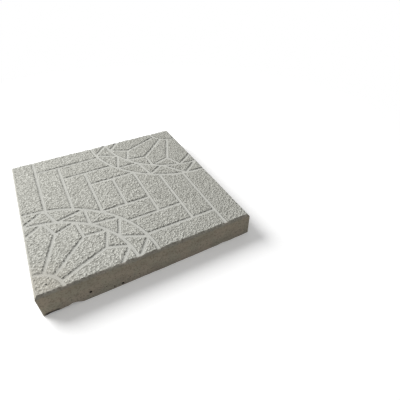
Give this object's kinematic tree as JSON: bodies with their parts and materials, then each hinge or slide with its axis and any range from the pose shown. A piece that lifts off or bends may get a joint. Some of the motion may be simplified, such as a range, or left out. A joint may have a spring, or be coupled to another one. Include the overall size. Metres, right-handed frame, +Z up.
{
  "type": "concrete paving slab",
  "caption": "Square cast concrete paving slab with a bevelled walking face, stepped brick courses and quarter rosettes in two opposite corners.",
  "frame": {"origin": "centre of the underside, on the ground that the slab lies on", "axes": "+Z up out of the walking face, +X and +Y along the slab's sides, with the rosettes in the -X -Y and the +X +Y corner"},
  "size_m": [0.4, 0.4, 0.05],
  "materials": {
    "concrete": "matte"
  },
  "bodies": {
    "root": {"paving_slab": "concrete"}
  },
  "joints": []
}
